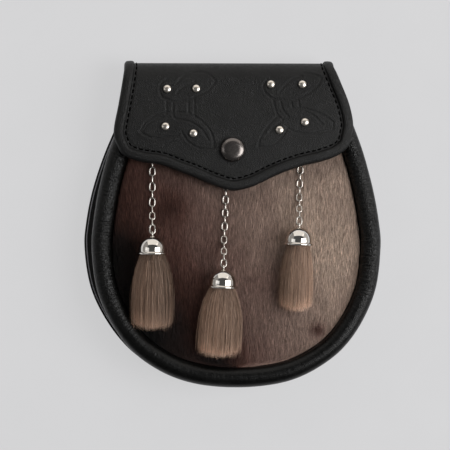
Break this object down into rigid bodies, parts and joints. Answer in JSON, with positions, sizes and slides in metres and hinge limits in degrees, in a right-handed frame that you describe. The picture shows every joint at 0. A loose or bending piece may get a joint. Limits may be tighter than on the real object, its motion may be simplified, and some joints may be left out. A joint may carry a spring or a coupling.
{
  "type": "sporran pouch",
  "caption": "Flat leather pouch with a domed fur front in a padded border, a folded flap with an embossed knot and snap, and hair tassels on chains.",
  "frame": {"origin": "middle of the back's bounding box, on the surface that the pouch lies on", "axes": "+Z out of the fur front, +Y toward the fold of the flap, +X to the right of the picture"},
  "size_m": [0.183, 0.1994, 0.0464],
  "materials": {
    "flap_leather": "smooth black calf leather with a soft sheen",
    "border_leather": "black pebble-grain leather, padded",
    "gusset_leather": "plain black leather",
    "fur": "short dark brown sealskin fur lying downward",
    "hair": "straight taupe hair",
    "chrome": "polished chrome",
    "nickel": "polished nickel",
    "dark_metal": "polished gunmetal"
  },
  "bodies": {
    "root": {"back_panel": "gusset_leather", "gusset": "gusset_leather", "front_panel": "fur", "border_roll": "border_leather", "flap": "flap_leather", "flap_binding": "flap_leather", "snap_cap": "dark_metal", "snap_post": "nickel", "rivet_1": "nickel", "rivet_2": "nickel", "rivet_3": "nickel", "rivet_4": "nickel", "rivet_5": "nickel", "rivet_6": "nickel", "rivet_7": "nickel", "rivet_8": "nickel", "tassel_cap_left": "chrome", "tassel_hair_left": "hair", "chain_staple_left": "nickel", "chain_left": "nickel", "tassel_cap_middle": "chrome", "tassel_hair_middle": "hair", "chain_staple_middle": "nickel", "chain_middle": "nickel", "tassel_cap_right": "chrome", "tassel_hair_right": "hair", "chain_staple_right": "nickel", "chain_right": "nickel"}
  },
  "joints": []
}
